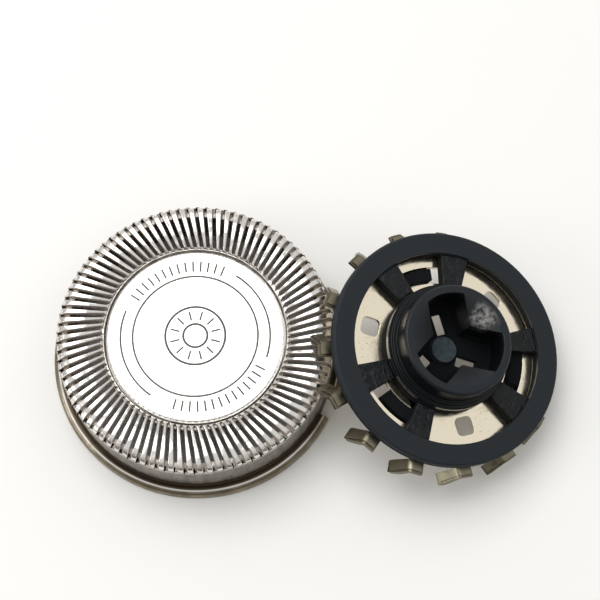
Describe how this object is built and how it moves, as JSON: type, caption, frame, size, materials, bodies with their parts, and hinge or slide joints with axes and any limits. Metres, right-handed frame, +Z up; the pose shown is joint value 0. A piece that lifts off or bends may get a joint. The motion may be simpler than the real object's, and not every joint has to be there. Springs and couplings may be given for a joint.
{
  "type": "rotary shaver head",
  "caption": "Rotary shaver head taken apart: a round slotted steel guard cap lies face up, and its bladed cutter with a black moulded coupler leans on it.",
  "frame": {"origin": "on the guard cap's axis, at the underside of its rim", "axes": "+Z up along the guard cap's axis, out through its slotted face; +X from the guard cap towards the cutter that leans on it"},
  "size_m": [0.0411, 0.0236, 0.0095],
  "materials": {
    "guard_steel": "polished stainless steel",
    "disc_steel": "satin stainless steel with a bright bevelled edge",
    "bearing_plastic": "natural moulded acetal",
    "blade_steel": "warm-toned stamped and ground steel, faintly stained",
    "spring_steel": "thin rolled spring steel, dull olive brown",
    "coupler_plastic": "black moulded plastic, matte ring and glossy hub"
  },
  "bodies": {
    "root": {"guard_cap": "guard_steel", "cover_disc": "disc_steel", "centre_insert": "bearing_plastic", "blade_ring": "blade_steel", "lifter_ring": "spring_steel", "coupler": "coupler_plastic"}
  },
  "joints": []
}
